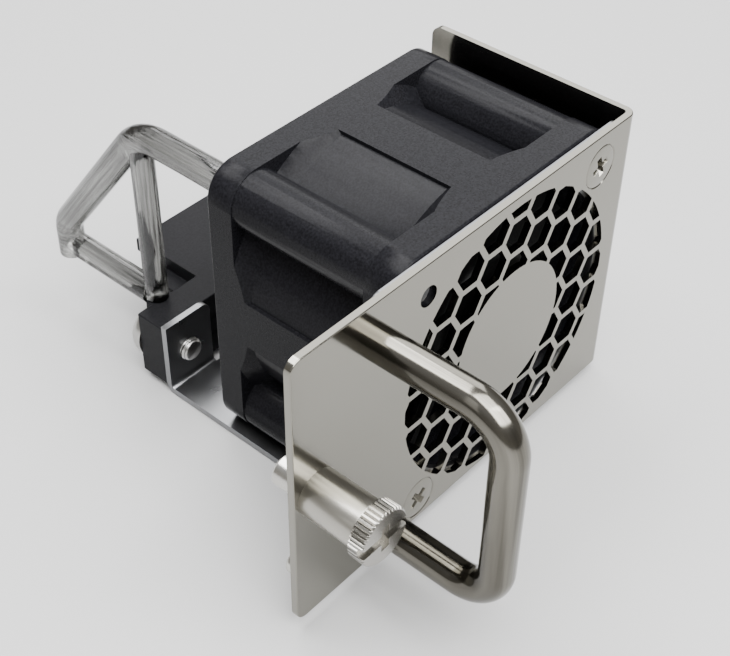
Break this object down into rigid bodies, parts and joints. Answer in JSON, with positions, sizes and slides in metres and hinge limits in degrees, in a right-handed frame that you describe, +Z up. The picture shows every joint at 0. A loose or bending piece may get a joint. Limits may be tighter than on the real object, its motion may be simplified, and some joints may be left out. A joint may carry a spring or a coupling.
{
  "type": "hot-swappable fan module",
  "caption": "Square axial fan on a folded metal tray behind a plate with a hexagonal grille, pull handle and captive thumbscrew, with a rear light pipe and plug-in connector.",
  "frame": {"origin": "on the underside of the tray, straight below the centre of the fan", "axes": "+X to the right as seen from in front of the plate, +Y back from the plate along the fan's axis, +Z up"},
  "size_m": [0.0603, 0.0847, 0.0414],
  "materials": {
    "plate_steel": "satin plated sheet with soft reflections",
    "tray_steel": "bright plated sheet",
    "handle_chrome": "polished nickel plating",
    "plated_steel": "satin plated screw",
    "bright_steel": "bright turned steel",
    "core_steel": "stacked laminations",
    "magnet": "dull dark bonded magnet",
    "copper": "enamelled copper",
    "brass": "turned brass",
    "board": "lacquered circuit board",
    "fan_plastic": "fine-grained moulding",
    "impeller_plastic": "smooth moulding",
    "connector_plastic": "smooth moulding",
    "clear_plastic": "clear polished acrylic"
  },
  "bodies": {
    "module": {"front_plate": "plate_steel", "fan_tray": "tray_steel", "fan_housing": "fan_plastic", "front_bearing": "bright_steel", "rear_bearing": "bright_steel", "bearing_tube": "brass", "stator_core": "core_steel", "stator_coils": "copper", "motor_board": "board", "fan_screws": "plated_steel", "pull_handle": "handle_chrome", "handle_screws": "plated_steel", "thumbscrew_ferrule": "handle_chrome", "thumbscrew_spring": "bright_steel", "guide_pin": "bright_steel", "light_pipe": "clear_plastic", "connector_body": "connector_plastic", "connector_contacts": "brass", "connector_screws": "plated_steel"},
    "rotor": {"impeller": "impeller_plastic", "rotor_yoke": "tray_steel", "rotor_magnet": "magnet", "rotor_shaft": "bright_steel", "preload_washer": "bright_steel", "shaft_clip": "bright_steel"},
    "screw_washer": {"thumbscrew_washer": "bright_steel"},
    "thumbscrew": {"thumbscrew_knob": "handle_chrome", "thumbscrew_shank": "bright_steel"}
  },
  "joints": [
    {"name": "fan_spin", "type": "hinge", "parent": "module", "child": "rotor", "pos_m": [0, 0, 0.0209], "axis": [0, 1, 0], "continuous": true},
    {"name": "thumbscrew_travel", "type": "slide", "parent": "module", "child": "screw_washer", "axis": [0, -1, 0], "range_m": [0, 0.0035]},
    {"name": "thumbscrew_turn", "type": "hinge", "parent": "screw_washer", "child": "thumbscrew", "pos_m": [-0.0337, -0.0234, 0.0209], "axis": [0, -1, 0], "range_deg": [0, 1800]}
  ],
  "couplings": [
    {"joint": "thumbscrew_turn", "follows": "thumbscrew_travel", "rad_per_m": 8975.9}
  ]
}
